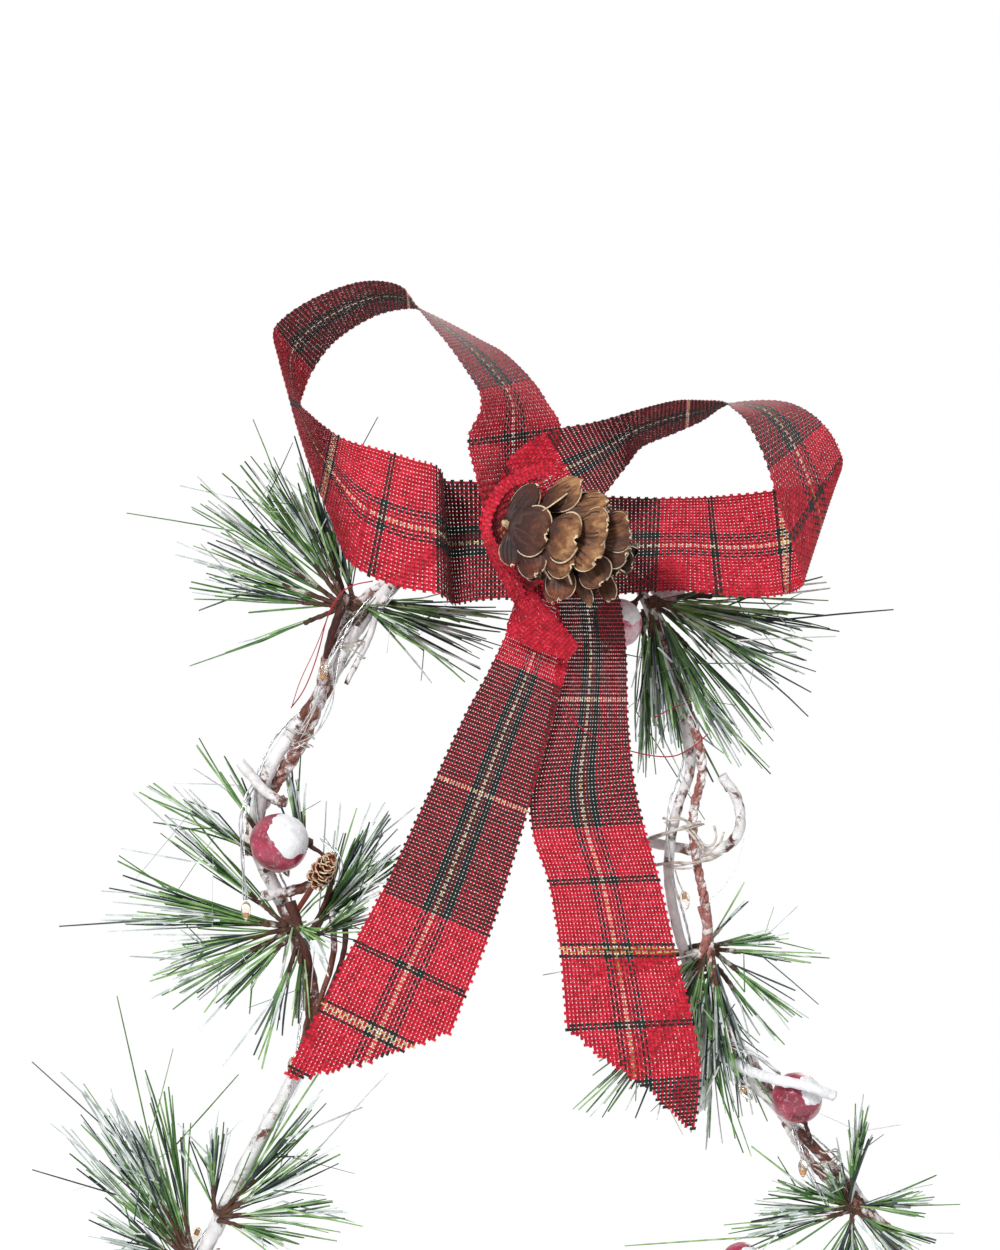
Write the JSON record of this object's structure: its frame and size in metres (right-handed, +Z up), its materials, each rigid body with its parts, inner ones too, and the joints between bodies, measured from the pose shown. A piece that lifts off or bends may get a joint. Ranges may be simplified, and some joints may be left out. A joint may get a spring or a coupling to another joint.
{
  "type": "LED christmas tree",
  "caption": "Openwork table tree of whitewashed vine on a log base, with frosted pine sprigs, berries, a tartan bow with a pinecone, and a string of small lamps.",
  "frame": {"origin": "middle of the resting face of the felt under the log slice", "axes": "+X to the viewer's right, +Y to the back, +Z up from the table to the bow"},
  "size_m": [0.3587, 0.16, 0.5984],
  "materials": {
    "painted_vine": "whitewashed",
    "paper_rope": "twisted, brushed with white",
    "log_wood": "raw, bark edge",
    "bark_wood": "rough bark",
    "felt": "felt",
    "screw_steel": "zinc",
    "berry_red": "satin with frost",
    "berry_frosted": "frosted",
    "tartan_ribbon": "woven tartan",
    "florist_wire": "green",
    "box_plastic": "matte black",
    "slider_plastic": "white",
    "foam": "foam tape",
    "board_green": "solder mask",
    "switch_metal": "tinned",
    "cell_jacket": "shrink sleeve",
    "contact_metal": "nickel",
    "lead_sleeve": "clear grey sleeve",
    "lamp_wire": "silver enamelled wire",
    "lamp_resin": "clear resin drop",
    "cone_wood": "papery scales",
    "pine_needles": "frosted tips"
  },
  "bodies": {
    "tree": {"left_vine": "painted_vine", "right_vine": "painted_vine", "left_rope": "paper_rope", "left_low_rope": "paper_rope", "right_rope": "paper_rope", "right_low_rope": "paper_rope", "right_curl": "painted_vine", "right_tendril": "painted_vine", "left_spur": "painted_vine", "left_tendril": "painted_vine", "base_slab": "log_wood", "base_felt": "felt", "trunk_stem": "bark_wood", "trunk_screw": "screw_steel", "trunk_wrap": "paper_rope", "left_berries": "berry_red", "right_berries": "berry_red", "top_berries": "berry_frosted", "bow_loops": "tartan_ribbon", "bow_left_tail": "tartan_ribbon", "bow_right_tail": "tartan_ribbon", "bow_knot": "tartan_ribbon", "bow_tie_wire": "florist_wire", "battery_box": "box_plastic", "foam_tape": "foam", "timer_board": "board_green", "switch_body": "switch_metal", "aa_cells": "cell_jacket", "contact_springs": "contact_metal", "contact_plates": "contact_metal", "battery_lead": "lead_sleeve", "splice_sleeve": "lead_sleeve", "lead_grommet": "lead_sleeve", "lamp_wire_left": "lamp_wire", "lamps_left": "lamp_resin", "lamp_wire_right": "lamp_wire", "lamps_right": "lamp_resin", "small_cones": "cone_wood", "pinecone": "cone_wood", "sprig_top_left": "pine_needles", "sprig_top_right": "pine_needles", "sprig_mid_left": "pine_needles", "sprig_mid_right": "pine_needles", "sprig_low_left": "pine_needles", "sprig_low_right": "pine_needles", "sprig_tier_left": "pine_needles", "sprig_tier_right": "pine_needles", "sprig_notch_left": "pine_needles", "sprig_notch_right": "pine_needles", "sprig_corner_left": "pine_needles", "sprig_corner_right": "pine_needles", "sprig_bough_left": "pine_needles", "sprig_bough_right": "pine_needles"},
    "lid": {"battery_lid": "box_plastic"},
    "switch": {"switch_slider": "slider_plastic"}
  },
  "joints": [
    {"name": "lid_slide", "type": "slide", "parent": "tree", "child": "lid", "axis": [1, 0, 0], "range_m": [0, 0.079]},
    {"name": "switch_throw", "type": "slide", "parent": "tree", "child": "switch", "axis": [1, 0, 0], "range_m": [-0.002, 0.002]}
  ]
}
